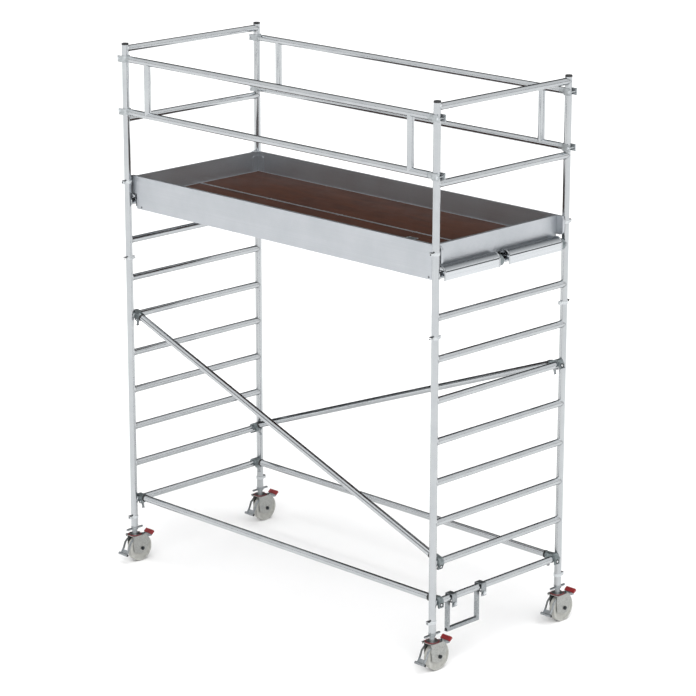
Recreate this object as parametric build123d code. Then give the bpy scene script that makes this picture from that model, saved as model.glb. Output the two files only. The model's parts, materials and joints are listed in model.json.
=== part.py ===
from build123d import *
import os
from math import atan2, cos, degrees, hypot, radians, sin

# Aluminium frame scaffold tower: two end frames with rungs, braces, a double deck with a trapdoor,
# guardrails and toe boards, standing on four braked castors.
# Millimetres, +Z up. The origin is on the ground under the middle of the four posts.
# X runs along the deck, from one end frame to the other. Y runs across the frames.

# ---------------------------------------------------------------- driving dimensions
# End frames
bay_length = 3002.0         # between the end frames, post axis to post axis
frame_width = 1274.0        # across an end frame, post axis to post axis
tube_d = 50.0               # posts and guard rails of the guard frame
tube_wall = 2.0
rung_d = 48.0               # rungs, braces and double guardrails
rung_wall = 2.0
rung_pitch = 280.0
first_rung_rise = 205.0     # first rung above the lower end of its posts
lower_rungs = 7
upper_rungs = 2
guard_frame_height = 1059.0
guard_rail_rises = (530.0, 1030.0)
cap_thickness = 12.0

# Joints between the frames
spigot_length = 240.0
spigot_wall = 3.0
slip_gap = 0.1              # radial gap of a tube that slips into another
clip_rise = 75.0            # locking clip above the joint that it holds
clip_height = 20.0
clip_band = 3.0
clip_lug = 25.0             # how far the lug stands out of the post
clip_lug_width = 26.0
clip_pin_d = 9.6
clip_hole_gap = 0.2         # radial gap round the clip's pin

# Braces and their claws
claw_post_gap = 1.0         # claws to the posts
brace_rise = 15.5           # brace axis above the rung axis, square to the brace
brace_low_rung = 2          # the diagonals run from this rung
brace_high_rung = 6         # up to this rung of the other frame
claw_width = 46.0
claw_wall = 12.5
claw_gap = 0.4              # claw's seat round a tube
claw_finger = 35.0          # how far the outer finger reaches below the rung axis
claw_reach = 62.0           # rung axis to the collar that the tube butts on
claw_plug = 40.0            # plug inside the tube
latch_width = 12.0
latch_slot = 14.0
latch_pin_r = 3.0
latch_pin_gap = 0.05
latch_pivot = (40.0, -14.0)  # along the brace and square to it, from the rung axis
latch_tail = 44.0

# Double guardrails
rail_heights = (582.0, 960.0)   # rail axes above the lower end of the guard frame
rail_spacer_inset = 231.0       # spacer tube axis from the post axis
rail_claw_height = 46.0
rail_claw_wall = 8.0
rail_claw_tip = 53.0            # finger tips beyond the post axis
rail_pin_r = 4.0

# Platforms
deck_rise = 50.0            # deck surface above its rung
deck_post_gap = 4.0         # side beams to the posts
deck_seam = 4.0             # gap between the two platforms
deck_end_gap = 62.0         # rung axis to the ends of the side beams
beam_width = 26.0
beam_depth = 92.0
beam_wall = 2.5
beam_lip = 4.0
ply_thickness = 10.0
bearer_width = 40.0
bearer_depth = 30.0
door_bearer_gap = 22.0          # trapdoor's opening to the bearer beside it
hook_outer_r = 45.0
hook_crown = 63.0           # crown of the hook above the rung axis
hook_skirt = 30.0           # lower edge of the hook below the rung axis
hook_wall = 4.0
hook_saddle = 16.0          # thickness of the saddle plates inside the hook
hook_post_gap = 12.0        # hooks to the posts
hook_middle_gap = 20.0      # hooks and locks from the middle of the deck
hook_neck_inset = 20.0
wind_lock_width = 42.0
wind_lock_wall = 14.0
wind_lock_tilt = 60.0       # degrees that the lock turns to let go of the rung
rivet_r = 6.0
rivet_depth = 1.5           # heads are let into the plywood, flush with it
rivet_seam_y = 20.0
rivet_edge_inset = 9.0      # outer rivets inside the plywood's edge

# Trapdoor in the front platform
door_length = 640.0         # door opening along X
door_end_inset = 47.0       # opening to the end of the platform
door_side_inset = 48.0      # opening to the outer face of the side beam
door_inner = 60.0           # opening's inner edge from the middle
door_gap = 3.0
door_batten_width = 30.0
door_batten_depth = 22.0
door_batten_inset = 120.0
door_pin_r = 3.0
door_pin_gap = 0.05
door_barrel_r = 5.0
door_hinge_rise = 5.3       # hinge axis above the deck, so that the barrel clears the boards
door_hinge_plate = 2.5
door_hinge_leaf = 34.0
door_latch_size = (88.0, 42.0, 3.0)
door_latch_inset = (70.0, 80.0)  # spindle from the near edge and from the inner edge
door_latch_tongue = 106.0
door_latch_spindle_r = 6.0

# Toe boards
toe_height = 144.0
toe_thickness = 23.0
toe_end_gap = 1.0           # end boards beyond the ends of the platforms
toe_end_drop = 4.0          # end boards' lower edge below the deck
toe_tail = 81.0             # rounded tail of a side board, past the end of its platform
toe_tail_rise = 16.0        # tail's lower edge above the deck, clear of the hooks
toe_tail_corner = 28.0
toe_tail_step = 1.0         # tail's faces inside the board's faces
bracket_leg = 55.0
bracket_wall = 3.0
bracket_height = 118.0
bracket_corner = 18.0

# Step bracket on the lowest rung of the right frame
step_outer_y = -490.0
step_inner_y = -200.0
step_tube = 25.0
step_wall = 2.0
step_drop = 222.0           # bottom bar's axis below the rung axis
step_strap_width = 46.0
step_strap_wall = 5.0
step_strap_gap = 5.0        # strap's sides outside the rung
step_strap_skirt = 62.0

# Castors
wheel_d = 200.0
wheel_width = 48.0
wheel_trail = 43.0          # wheel axis behind the swivel axis, along +Y
tyre_depth = 16.0
hub_proud = 3.0             # hub's ends outside the wheel's faces
hub_r = 22.0
axle_r = 8.0
running_gap = 0.05          # radial gap of every turning bore
head_size = 104.0
head_clear = 8.0            # wheel to the underside of the fork's head
head_plate = 4.0
head_lip = 18.0
head_corner = 10.0
race_r = 47.0
race_height = 4.0
leg_clear = 4.0             # hub to the inner face of a leg
leg_thickness = 4.0
stem_r = 19.0
stem_foot_r = 27.0
stem_foot = 4.0
stem_rise = 63.0            # head's top to the lower end of the posts
stem_plug = 150.0
collar_height = 12.0
wing_reach = 76.0
wing_width = 16.0
wing_height = 10.0
brake_pivot_y = 5.0
brake_pivot_drop = 28.0     # below the head's top
brake_pin_r = 5.0
brake_plate = 3.0
brake_arm_half = 9.0
brake_boss_r = 13.0
brake_travel = 6.0          # degrees
brake_shoe_angle = 48.0     # from straight above the axle
brake_shoe_clear = 1.2      # shoe to tyre when the lever is fully down
pedal_bar_d = 20.0
pedal_overhang = 15.0       # pedal bar's ends outside the legs' inner faces
lever_size = (84.0, 34.0, 14.0)
lever_tilt = 38.0
lever_offset = (13.0, 11.0)  # tongue's middle from the shoe's plate
shoe_rise = 10.0            # middle of the shoe's plate outside the tyre, besides its gap

# ---------------------------------------------------------------- derived places
post_x = bay_length / 2
post_y = frame_width / 2
tube_r = tube_d / 2
rung_r = rung_d / 2
bore_r = tube_r - tube_wall
wheel_r = wheel_d / 2
head_under = wheel_d + head_clear
head_top = head_under + head_plate
frame_bottom = head_top + stem_rise
lower_top = frame_bottom + lower_rungs * rung_pitch
upper_top = lower_top + upper_rungs * rung_pitch
guard_top = upper_top + guard_frame_height
brace_y = post_y - tube_r - claw_width / 2 - claw_post_gap
deck_half_width = post_y - tube_r - deck_post_gap
hook_y = post_y - tube_r - hook_post_gap
beam_end = post_x - deck_end_gap
board_end = beam_end - beam_lip
board_edge = deck_half_width - beam_width
door_far = beam_end - door_end_inset
door_near = door_far - door_length
door_outer = deck_half_width - door_side_inset
bearer_x = door_near - door_bearer_gap - bearer_width / 2
hub_width = wheel_width + 2 * hub_proud
leg_gap = hub_width / 2 + leg_clear
corners = (("front_left", -1, -1), ("front_right", 1, -1), ("rear_left", -1, 1), ("rear_right", 1, 1))


def rung_z(number):
    """Height of a rung's axis, counted from the lowest rung."""
    return frame_bottom + first_rung_rise + (number - 1) * rung_pitch


deck_rung_z = rung_z(lower_rungs + upper_rungs)
deck_top = deck_rung_z + deck_rise
ply_under = deck_top - ply_thickness
beam_under = deck_top - beam_depth

# ---------------------------------------------------------------- small shapes


def rod(start, end, radius):
    """Solid round bar from one point to another."""
    run = Vector(*end) - Vector(*start)
    base = Plane(origin=start, z_dir=run)
    return base.location * Cylinder(radius, run.length, align=(Align.CENTER, Align.CENTER, Align.MIN))


def pipe(start, end, outer_d, wall):
    """Round tube from one point to another."""
    return rod(start, end, outer_d / 2) - rod(start, end, outer_d / 2 - wall)


def block(x_range, y_range, z_range):
    """Box between two values on each axis."""
    spans = (sorted(x_range), sorted(y_range), sorted(z_range))
    size = [high - low for low, high in spans]
    middle = [(high + low) / 2 for low, high in spans]
    return Pos(*middle) * Box(*size)


def outline(points, radius=0.0):
    """Flat face inside a closed outline, with its corners rounded."""
    face = make_face(Polyline(*points, close=True))
    if radius:
        face = fillet(face.vertices(), radius)
    return face


def along_y(face, low, high):
    """Face drawn in X and Z, given its thickness from low to high along Y."""
    plane = Plane(origin=(0, high, 0), x_dir=(1, 0, 0), z_dir=(0, -1, 0))
    return extrude(plane * face, amount=high - low)


def along_x(face, low, high):
    """Face drawn in Y and Z, given its thickness from low to high along X."""
    plane = Plane(origin=(low, 0, 0), x_dir=(0, 1, 0), z_dir=(1, 0, 0))
    return extrude(plane * face, amount=high - low)


def along_z(face, low, high):
    """Face drawn in X and Y, given its thickness from low to high along Z."""
    return extrude(Plane(origin=(0, 0, low)) * face, amount=high - low)


def ribbon(points, half_width):
    """Outline of a strip of even width that follows a line of points."""
    left = []
    right = []
    last = len(points) - 1
    for i, (a, b) in enumerate(points):
        before = points[max(i - 1, 0)]
        after = points[min(i + 1, last)]
        run = (after[0] - before[0], after[1] - before[1])
        length = hypot(*run)
        side = (-run[1] / length * half_width, run[0] / length * half_width)
        left.append((a + side[0], b + side[1]))
        right.append((a - side[0], b - side[1]))
    return left + right[::-1]


def turned(profile):
    """Solid turned about the X axis from points of (radius, x)."""
    points = [(x, radius) for radius, x in profile]
    return revolve(make_face(Polyline(*points, close=True)), axis=Axis.X)


def save(name, *pieces):
    """Write one node: its pieces stay separate solids."""
    solids = [solid for piece in pieces for solid in piece.solids()]
    export_step(Compound(children=solids), os.path.join("parts", name + ".step"))


# ---------------------------------------------------------------- end frames


def pin_hole(x, y, z):
    """Hole across a post for a locking pin, with its play."""
    return rod((x, y - tube_d, z), (x, y + tube_d, z), clip_pin_d / 2 + clip_hole_gap)


def stile(x, y, bottom, top):
    """Post of a frame, with the locking pin's hole near its lower end."""
    return pipe((x, y, bottom), (x, y, top), tube_d, tube_wall) - pin_hole(x, y, bottom + clip_rise)


def crossbar(x, z, outer_d, wall):
    """Tube between the two posts, coped round both of them."""
    bar = pipe((x, -post_y, z), (x, post_y, z), outer_d, wall)
    for side in (-1, 1):
        bar -= rod((x, side * post_y, z - tube_d), (x, side * post_y, z + tube_d), tube_r)
    return max(bar.solids(), key=lambda solid: solid.volume)


def end_frame(x, bottom, top, bar_heights, bar_d, bar_wall):
    """Two posts and the bars between them."""
    pieces = [stile(x, side * post_y, bottom, top) for side in (-1, 1)]
    pieces += [crossbar(x, z, bar_d, bar_wall) for z in bar_heights]
    return pieces


def spigot(x, y, joint_z):
    """Inner sleeve that lines up two posts, with holes for both locking pins."""
    outer_d = 2 * (bore_r - slip_gap)
    low = joint_z - spigot_length / 2
    sleeve = pipe((x, y, low), (x, y, joint_z + spigot_length / 2), outer_d, spigot_wall)
    for z in (joint_z - clip_rise, joint_z + clip_rise):
        sleeve -= pin_hole(x, y, z)
    return sleeve


def post_cap(x, y):
    """Plastic cap with a plug that goes down into the post."""
    disc = rod((x, y, guard_top), (x, y, guard_top + cap_thickness), tube_r)
    disc = fillet(disc.edges().sort_by(Axis.Z)[-1], 3.0)
    return disc + rod((x, y, guard_top - 25.0), (x, y, guard_top), bore_r - slip_gap)


def locking_clip(x, y, joint_z, outward):
    """Band round the post with a lug and the pin that locks the joint."""
    z = joint_z + clip_rise
    half = clip_height / 2
    band_r = tube_r + slip_gap
    seat = rod((x, y, z - half), (x, y, z + half), band_r)
    band = rod((x, y, z - half), (x, y, z + half), band_r + clip_band)
    reach = y + outward * (tube_r + clip_lug)
    lug = block((x - clip_lug_width / 2, x + clip_lug_width / 2), (y, reach), (z - half, z + half))
    lug = fillet(lug.edges().filter_by(Axis.Z), 4.0)
    pin = rod((x, y + outward * 8.0, z), (x, reach - outward * 4.0, z), clip_pin_d / 2)
    return band + lug - seat + pin


# ---------------------------------------------------------------- braces


def brace_claw():
    """Cast claw over a rung. The rung runs along Y through the origin, the brace along +X."""
    seat_r = rung_r + claw_gap
    outer_r = seat_r + claw_wall
    half = claw_width / 2
    collar_r = rung_r + 1.0
    ring = along_y(Circle(outer_r), -half, half)
    cheek_low = latch_pivot[1] - 10.0
    cheek = outline([(0, 0), (seat_r, cheek_low), (latch_pivot[0] + 10.0, cheek_low),
                     (claw_reach - 8.0, brace_rise - collar_r * 0.7),
                     (claw_reach - 8.0, brace_rise + collar_r * 0.7), (0, outer_r)])
    body = ring + along_y(cheek, -half, half)
    body += block((-outer_r, -seat_r), (-half, half), (-claw_finger, 0))
    body += rod((claw_reach - 18.0, 0, brace_rise), (claw_reach, 0, brace_rise), collar_r)
    body += rod((claw_reach, 0, brace_rise), (claw_reach + claw_plug, 0, brace_rise),
                rung_r - rung_wall - slip_gap)
    body -= along_y(Circle(seat_r), -half, half)
    body -= block((-seat_r, seat_r), (-half, half), (-2 * outer_r, 0))
    slot_top = brace_rise - collar_r + 8.0
    slot = (-latch_slot / 2, latch_slot / 2)
    body -= block((seat_r - 2.0, claw_reach - 10.0), slot, (-2 * outer_r, slot_top))
    px, pz = latch_pivot
    return body + rod((px, -half + 4.0, pz), (px, half - 4.0, pz), latch_pin_r)


def brace_latch():
    """Sprung trigger that closes under the rung, with a tail to pull it open."""
    px, pz = latch_pivot
    under = -(rung_r + 1.5)
    nose = outline([(px - 2, pz + 7), (px - 14, under), (8, under), (5, under - 5), (10, under - 10),
                    (px - 8, under - 8), (px + 1, pz - latch_tail), (px + 10, pz - latch_tail), (px + 7, pz)])
    half = latch_width / 2
    blade = along_y(nose + Pos(px, pz) * Circle(8.0), -half, half)
    thumb = block((px + 1.0, px + 12.0), (-half - 4.0, half + 4.0), (pz - latch_tail - 5.0, pz - latch_tail))
    return blade + thumb - rod((px, -half, pz), (px, half, pz), latch_pin_r + latch_pin_gap)


def brace_ends(y, left_rung, right_rung):
    """Places of a brace's two claws and the points that its tube runs between."""
    rise = rung_z(right_rung) - rung_z(left_rung)
    slope = atan2(rise, bay_length)
    tilt = Rot(0, -degrees(slope), 0)
    left = Pos(-post_x, y, rung_z(left_rung)) * tilt
    right = Pos(post_x, y, rung_z(right_rung)) * tilt * Rot(0, 0, 180)
    start = (left * Pos(claw_reach, 0, brace_rise)).position
    end = (right * Pos(claw_reach, 0, brace_rise)).position
    return left, right, start, end


braces = {
    "base_front": (-brace_y, 1, 1),
    "base_rear": (brace_y, 1, 1),
    "diagonal_front": (-brace_y, brace_high_rung, brace_low_rung),
    "diagonal_rear": (brace_y, brace_low_rung, brace_high_rung),
}


def brace_tube(name):
    """Straight tube between the collars of the brace's claws."""
    _, _, start, end = brace_ends(*braces[name])
    return pipe(tuple(start), tuple(end), rung_d, rung_wall)


# ---------------------------------------------------------------- double guardrails


def rail_claw():
    """Fork round a post. The post runs along Z through the origin, the rail along +X."""
    half = rail_claw_height / 2
    seat_r = tube_r + claw_gap
    outer = seat_r + rail_claw_wall
    body = rod((0, 0, -half), (0, 0, half), outer)
    body += block((rail_claw_wall - rail_claw_tip, 0), (-outer, outer), (-half, half))
    tip_x = rail_claw_wall - rail_claw_tip
    for side in (-1, 1):
        tip_y = side * (seat_r + rail_claw_wall / 2)
        body += rod((tip_x, tip_y, -half), (tip_x, tip_y, half), rail_claw_wall / 2)
    body += rod((0, 0, 0), (claw_reach, 0, 0), half)
    body += rod((claw_reach, 0, 0), (claw_reach + claw_plug, 0, 0), rung_r - rung_wall - slip_gap)
    body -= rod((0, 0, -half), (0, 0, half), seat_r)
    body -= block((-2 * rail_claw_tip, 0), (-seat_r, seat_r), (-half, half))
    pin_x = -(tube_r + rail_pin_r + 6.0)
    return body + rod((pin_x, -outer - 3.0, 0), (pin_x, outer + 3.0, 0), rail_pin_r)


def guardrail_claws():
    """All claws of the two double guardrails."""
    claws = []
    for _, side_x, side_y in corners:
        for height in rail_heights:
            turn = Rot(0, 0, 0) if side_x < 0 else Rot(0, 0, 180)
            claws.append(Pos(side_x * post_x, side_y * post_y, upper_top + height) * turn * rail_claw())
    return claws


def double_guardrail(y):
    """Two rails and the two spacer tubes between them."""
    low, high = [upper_top + height for height in rail_heights]
    end = post_x - claw_reach
    pieces = [pipe((-end, y, z), (end, y, z), rung_d, rung_wall) for z in (low, high)]
    for side in (-1, 1):
        x = side * (post_x - rail_spacer_inset)
        spacer = pipe((x, y, low), (x, y, high), rung_d, rung_wall)
        for z in (low, high):
            spacer -= rod((x - tube_d, y, z), (x + tube_d, y, z), rung_r)
        pieces.append(max(spacer.solids(), key=lambda solid: solid.volume))
    return pieces


# ---------------------------------------------------------------- platforms


def side_beam(outer, inward, lip):
    """Hollow side beam with a lip of the given width beside the edge of the plywood."""
    length = (-beam_end, beam_end)
    inner = outer + inward * beam_width
    box = block(length, (outer, inner), (beam_under, ply_under))
    box -= block(length, (outer + inward * beam_wall, inner - inward * beam_wall),
                 (beam_under + beam_wall, ply_under - beam_wall))
    return box + block(length, (outer, outer + inward * lip), (ply_under, deck_top))


def hollow_bar(x_range, y_range, z_range, axis):
    """Rectangular tube, open at both ends along the given axis."""
    spans = [sorted(x_range), sorted(y_range), sorted(z_range)]
    inner = [(low + beam_wall, high - beam_wall) for low, high in spans]
    inner["xyz".index(axis)] = spans["xyz".index(axis)]
    return block(*spans) - block(*inner)


def platform_frame(side, with_door):
    """Side beams, end beams and the bearers under the plywood of one platform."""
    outer = side * deck_half_width
    seam = side * deck_seam / 2
    pieces = [side_beam(outer, -side, beam_width), side_beam(seam, side, beam_lip)]
    span = (outer - side * beam_width, seam + side * beam_width)
    lip_span = (span[0], seam + side * beam_lip)
    depth = (ply_under - bearer_depth, ply_under)
    for end in (-1, 1):
        reach = (end * (beam_end - bearer_width), end * beam_end)
        lip = block((end * board_end, end * beam_end), lip_span, (ply_under, deck_top))
        pieces.append(hollow_bar(reach, span, (beam_under, ply_under), "y") + lip)
    for x in (-bearer_x, 0.0, bearer_x):
        pieces.append(hollow_bar((x - bearer_width / 2, x + bearer_width / 2), span, depth, "y"))
    if with_door:
        length = (bearer_x + bearer_width / 2, beam_end - bearer_width)
        trimmer = side * (door_inner - beam_width / 2)
        pieces.append(hollow_bar(length, (trimmer, trimmer + side * beam_width), depth, "x"))
    return pieces


def door_hinge():
    """Place of the trapdoor's hinge axis in Y and Z."""
    return -door_outer + 1.5 * door_gap, deck_top + door_hinge_rise


def door_batten_places():
    """Middles of the trapdoor's two battens, which carry the hinges."""
    return (door_near + door_batten_inset, door_far - door_batten_inset)


def door_pins():
    """Fixed half of each hinge: a plate beside the toe board, two ears and the pin."""
    y, z = door_hinge()
    half = door_batten_width / 2
    edge = -deck_half_width + toe_thickness + 1.0
    pins = []
    for x in door_batten_places():
        reach = half + 8.0
        pin = rod((x - reach, y, z), (x + reach, y, z), door_pin_r)
        for low, high in ((x - reach, x - half - 1.0), (x + half + 1.0, x + reach)):
            pin += rod((low, y, z), (high, y, z), door_barrel_r)
            pin += block((low, high), (edge, y), (deck_top, z))
        pin += block((x - reach, x + reach), (edge, -door_outer), (deck_top, deck_top + door_hinge_plate))
        pins.append(pin)
    return pins


def rivet_places(side):
    """Places of one platform's rivets in X and Y."""
    rows = (rivet_seam_y, board_edge - rivet_edge_inset)
    return [(x, side * y) for x in (-bearer_x, 0.0, bearer_x) for y in rows]


def deck_boards(side, with_door):
    """Plywood of one platform, in separate boards round the trapdoor, with seats for the rivets."""
    outer = side * board_edge
    seam = side * (deck_seam / 2 + beam_lip)
    depth = (ply_under, deck_top)
    near = door_near if with_door else board_end
    main = block((-board_end, near), (outer, seam), depth)
    for x, y in rivet_places(side):
        main -= rod((x, y, deck_top - rivet_depth), (x, y, deck_top), rivet_r)
    if not with_door:
        return [main]
    return [
        main,
        block((door_far, board_end), (outer, seam), depth),
        block((door_near, door_far), (outer, side * door_outer), depth),
        block((door_near, door_far), (side * door_inner, seam), depth),
    ]


def trapdoor():
    """Plywood leaf, two battens under it and the moving half of each hinge on top."""
    y, z = door_hinge()
    leaf_edge = -door_outer + 3 * door_gap
    leaf = block((door_near + door_gap, door_far - door_gap),
                 (leaf_edge, -door_inner - door_gap), (ply_under, deck_top))
    latch_place = door_latch_place()
    leaf -= rod((*latch_place, ply_under), (*latch_place, deck_top), door_latch_spindle_r + running_gap)
    half = door_batten_width / 2
    plate = (deck_top, deck_top + door_hinge_plate)
    pieces = [leaf]
    for x in door_batten_places():
        span = (x - half, x + half)
        batten_end = -door_inner - beam_width / 2 - 4 * door_gap
        pieces.append(block(span, (leaf_edge, batten_end), (ply_under - door_batten_depth, ply_under)))
        knuckle = rod((x - half, y, z), (x + half, y, z), door_barrel_r)
        knuckle += block(span, (y, leaf_edge), (z, z + door_barrel_r))
        knuckle += block(span, (leaf_edge, leaf_edge + door_hinge_leaf), plate)
        knuckle += block(span, (leaf_edge, leaf_edge + door_hinge_plate), (deck_top, z + door_barrel_r))
        pieces.append(knuckle - rod((x - half, y, z), (x + half, y, z), door_pin_r + door_pin_gap))
    return pieces


def door_latch_place():
    """Place of the latch's spindle in X and Y."""
    return door_near + door_latch_inset[0], -door_inner - door_latch_inset[1]


def trapdoor_latch():
    """Turn latch: a plate on the door and a spindle, with a tongue that turns under the next bearer."""
    x, y = door_latch_place()
    length, width, thickness = door_latch_size
    low = deck_top + 0.3
    plate = block((x - length / 2, x + length / 2), (y - width / 2, y + width / 2), (low, low + thickness))
    plate = fillet(plate.edges().filter_by(Axis.Z), 5.0)
    foot = ply_under - bearer_depth - 8.0
    spindle = rod((x, y, foot), (x, y, low), door_latch_spindle_r)
    tongue = block((x - 10.0, x + 10.0), (y - door_latch_tongue, y + 10.0), (foot, foot + 5.0))
    return plate + spindle + tongue


def platform_hook(end, low_y, high_y):
    """Arched shell over the rung, with saddle plates that rest on it."""
    arch_z = hook_crown - hook_outer_r
    wall_r = hook_outer_r - hook_wall
    skirt = -hook_skirt
    shell = Pos(0, arch_z) * Circle(hook_outer_r) + outline(
        [(-hook_outer_r, skirt), (hook_outer_r, skirt), (hook_outer_r, arch_z), (-hook_outer_r, arch_z)])
    hollow = Pos(0, arch_z) * Circle(wall_r) + outline(
        [(-wall_r, 2 * skirt), (wall_r, 2 * skirt), (wall_r, arch_z), (-wall_r, arch_z)])
    seat_r = rung_r + slip_gap
    saddle = hollow & outline([(-wall_r, -8), (wall_r, -8), (wall_r, hook_crown), (-wall_r, hook_crown)])
    saddle = saddle - Circle(seat_r) - outline([(-seat_r, -9), (seat_r, -9), (seat_r, 0), (-seat_r, 0)])
    body = along_y(shell - hollow, low_y, high_y)
    for place in (low_y + 30.0, (low_y + high_y) / 2, high_y - 30.0):
        body += along_y(saddle, place - hook_saddle / 2, place + hook_saddle / 2)
    neck_span = (low_y + hook_neck_inset, high_y - hook_neck_inset)
    neck = block((-deck_end_gap, -hook_outer_r + 1.0), neck_span, (skirt, ply_under - deck_rung_z))
    body = Pos(0, 0, deck_rung_z) * (body + neck)
    return Pos(end * post_x, 0, 0) * (body if end > 0 else mirror(body, about=Plane.YZ))


def hook_spans():
    """Stretches of the two hooks along Y; a wind lock fills the rest of each platform's width."""
    locked = wind_lock_width + 2.0
    return ((-hook_y, -hook_middle_gap - locked), (hook_middle_gap, hook_y - locked))


def wind_lock(end, low_y):
    """Half ring round the rung that turns to reach under it, with a thumb tab."""
    inner_r = rung_r + claw_gap
    outer_r = inner_r + wind_lock_wall
    ring = Circle(outer_r) - Circle(inner_r)
    ring = ring & outline([(-outer_r, 0), (outer_r, 0), (outer_r, outer_r), (-outer_r, outer_r)])
    tab = outline([(-outer_r - 9, 1), (-inner_r - 2, 1), (-inner_r - 4, 9), (-outer_r - 9, 9)], 1.5)
    body = along_y(ring + tab, low_y, low_y + wind_lock_width)
    body = Rot(0, wind_lock_tilt, 0) * body
    if end < 0:
        body = mirror(body, about=Plane.YZ)
    return Pos(end * post_x, 0, deck_rung_z) * body


def deck_rivets():
    """Rivet heads that hold the plywood to the bearers."""
    places = rivet_places(-1) + rivet_places(1)
    return [rod((x, y, deck_top - rivet_depth), (x, y, deck_top), rivet_r) for x, y in places]


# ---------------------------------------------------------------- toe boards


def side_toe_board(side):
    """Long board that stands on the outer edge of a platform, and its two rounded tails beside the posts."""
    outer = side * deck_half_width
    inner = outer - side * toe_thickness
    top = deck_top + toe_height
    pieces = [block((-beam_end, beam_end), (outer, inner), (deck_top, top))]
    for end in (-1, 1):
        length = (end * beam_end, end * (beam_end + toe_tail))
        width = (outer - side * toe_tail_step, inner + side * toe_tail_step)
        tail = block(length, width, (deck_top + toe_tail_rise, top))
        far_edges = sorted(tail.edges().filter_by(Axis.Y), key=lambda edge: end * edge.center().X)[-2:]
        pieces.append(fillet(far_edges, toe_tail_corner))
    return pieces


def end_toe_board(end):
    """Board across the end of both platforms, between the tails of the long boards."""
    face = beam_end + toe_end_gap
    inner = deck_half_width - toe_thickness
    height = (deck_top - toe_end_drop, deck_top + toe_height)
    return block((end * face, end * (face + toe_thickness)), (-inner, inner), height)


def toe_bracket(end, side):
    """Angle that ties a long board to an end board."""
    x = end * (beam_end + toe_end_gap)
    y = side * (deck_half_width - toe_thickness)
    height = (deck_top, deck_top + bracket_height)
    leg_x = block((x, x - end * bracket_wall), (y, y - side * bracket_leg), height)
    leg_y = block((x, x - end * bracket_leg), (y, y - side * bracket_wall), height)
    leg_x = fillet(top_far_edge(leg_x, Axis.X, 0, -side), bracket_corner)
    leg_y = fillet(top_far_edge(leg_y, Axis.Y, -end, 0), bracket_corner)
    return leg_x + leg_y


def top_far_edge(solid, axis, toward_x, toward_y):
    """Top edge along the axis that lies farthest toward the given side."""
    return max(solid.edges().filter_by(axis),
               key=lambda edge: edge.center().Z + toward_x * edge.center().X + toward_y * edge.center().Y)


# ---------------------------------------------------------------- step bracket


def step_strap(y_range):
    """Saddle strap over the lowest rung of the right frame."""
    z = rung_z(1)
    inner = rung_r + step_strap_gap
    outer = inner + step_strap_wall
    top = z + rung_r + step_strap_wall
    strap = block((post_x - outer, post_x + outer), y_range, (z - step_strap_skirt, top))
    strap = fillet(strap.edges().filter_by(Axis.Y).sort_by(Axis.Z)[-2:], 8.0)
    strap -= block((post_x - inner, post_x + inner), y_range, (z - 2 * step_strap_skirt, z + rung_r))
    bolt_z = z - rung_r - 14.0
    middle = sum(y_range) / 2
    bolt = rod((post_x - outer - 6.0, middle, bolt_z), (post_x + outer + 6.0, middle, bolt_z), 6.0)
    return strap + bolt


def step_bracket():
    """Square-tube stirrup hung below the rung, with its two straps."""
    half = step_tube / 2
    bottom = rung_z(1) - step_drop
    top = rung_z(1) - rung_r - 1.0
    stirrup = []
    width = (post_x - half, post_x + half)
    for y in (step_outer_y, step_inner_y):
        stirrup.append(hollow_bar(width, (y - half, y + half), (bottom + half, top), "z"))
    length = (step_outer_y - half, step_inner_y + half)
    stirrup.append(hollow_bar(width, length, (bottom - half, bottom + half), "y"))
    straps = [step_strap((y + half, y + half + step_strap_width)) for y in (step_outer_y, step_inner_y)]
    return stirrup + straps


# ---------------------------------------------------------------- castors
# Each castor is drawn with its swivel axis on Z and its wheel axis along X, behind the swivel axis.


def castor_stem():
    """Stem that swivels in the head, with its foot, the plug in the post and the winged collar."""
    stem = rod((0, 0, head_under - 0.3), (0, 0, frame_bottom), stem_r)
    stem += rod((0, 0, head_under - 0.3 - stem_foot), (0, 0, head_under - 0.3), stem_foot_r)
    stem += rod((0, 0, frame_bottom), (0, 0, frame_bottom + stem_plug), bore_r - slip_gap)
    stem -= pin_hole(0, 0, frame_bottom + clip_rise)
    low = frame_bottom - collar_height - wing_height
    collar = rod((0, 0, low), (0, 0, frame_bottom), tube_r + 1.0)
    wings = block((-wing_width / 2, wing_width / 2), (-wing_reach, wing_reach), (low, low + wing_height))
    collar += fillet(wings.edges().filter_by(Axis.Z), 6.0)
    return [stem, collar - rod((0, 0, low), (0, 0, frame_bottom), stem_r)]


def leg_outline():
    """Side plate of the fork, from the head down round the axle."""
    return outline([
        (-42.0, head_under), (-42.0, wheel_r + 40.0), (-34.0, wheel_r - 16.0),
        (wheel_trail - 20.0, wheel_r - 38.0), (wheel_trail + 20.0, wheel_r - 38.0),
        (wheel_trail + 66.0, wheel_r + 22.0), (wheel_trail + 66.0, wheel_r + 62.0), (wheel_trail + 30.0, head_under)])


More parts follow.
